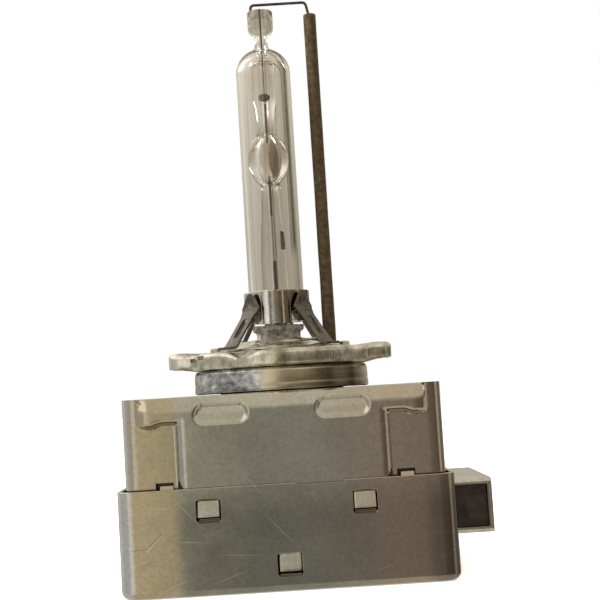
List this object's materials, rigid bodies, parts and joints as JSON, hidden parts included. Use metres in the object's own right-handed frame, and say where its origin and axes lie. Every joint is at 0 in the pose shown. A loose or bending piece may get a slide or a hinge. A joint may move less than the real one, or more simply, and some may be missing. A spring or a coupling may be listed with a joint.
{
  "type": "headlight bulb",
  "caption": "Gas-discharge headlight bulb: a quartz burner on a flanged neck above a sheet-metal igniter box with a side connector.",
  "frame": {"origin": "centre of the lower cover's underside, on the burner axis", "axes": "+Z along the burner axis towards its tip, +X towards the connector, -Y towards the front with the snap windows seen in the picture"},
  "size_m": [0.0484, 0.036, 0.0811],
  "materials": {
    "tinned_steel": "worn semi-gloss tinned sheet",
    "worn_steel": "worn, formed and bright along its edges",
    "spring_steel": "polished spring sheet",
    "jacket_glass": "clear polished quartz",
    "quartz": "clear polished quartz",
    "halide_film": "thin brown film",
    "tube_ceramic": "matt brown-grey, sooted",
    "lead_wire": "dark oxidised wire",
    "tungsten": "dark grey",
    "socket_insulator": "grey, mottled",
    "black_plastic": "black-brown, semi-gloss",
    "board": "solder-mask green",
    "ferrite": "matt",
    "bobbin_plastic": "matt cream",
    "enamelled_copper": "enamelled wire",
    "contact_brass": "tinned brass",
    "film_capacitor": "epoxy coated"
  },
  "bodies": {
    "root": {"lower_cover": "tinned_steel", "upper_cover": "tinned_steel", "base_neck": "worn_steel", "reference_flange": "worn_steel", "burner_socket": "socket_insulator", "connector_shell": "tinned_steel", "connector_insert": "black_plastic", "connector_pin_1": "contact_brass", "connector_pin_2": "contact_brass", "connector_pin_3": "contact_brass", "connector_pin_4": "contact_brass", "inner_housing": "black_plastic", "inner_housing_lid": "black_plastic", "circuit_board": "board", "transformer_core": "ferrite", "coil_bobbin": "bobbin_plastic", "secondary_winding": "enamelled_copper", "primary_winding": "enamelled_copper", "spark_gap": "bobbin_plastic", "bleed_resistor": "bobbin_plastic", "ignition_capacitor": "film_capacitor", "high_voltage_contact": "contact_brass", "return_terminal": "contact_brass", "outer_jacket": "jacket_glass", "arc_tube": "quartz", "upper_electrode": "tungsten", "lower_electrode": "tungsten", "upper_foil": "tungsten", "lower_foil": "tungsten", "upper_lead_wire": "lead_wire", "lower_lead_wire": "lead_wire", "halide_salt_deposit": "halide_film", "return_wire": "lead_wire", "return_wire_tube": "tube_ceramic", "burner_collar": "spring_steel", "support_leg_front_left": "spring_steel", "support_leg_front_right": "spring_steel", "support_leg_rear_left": "spring_steel", "support_leg_rear_right": "spring_steel"}
  },
  "joints": []
}
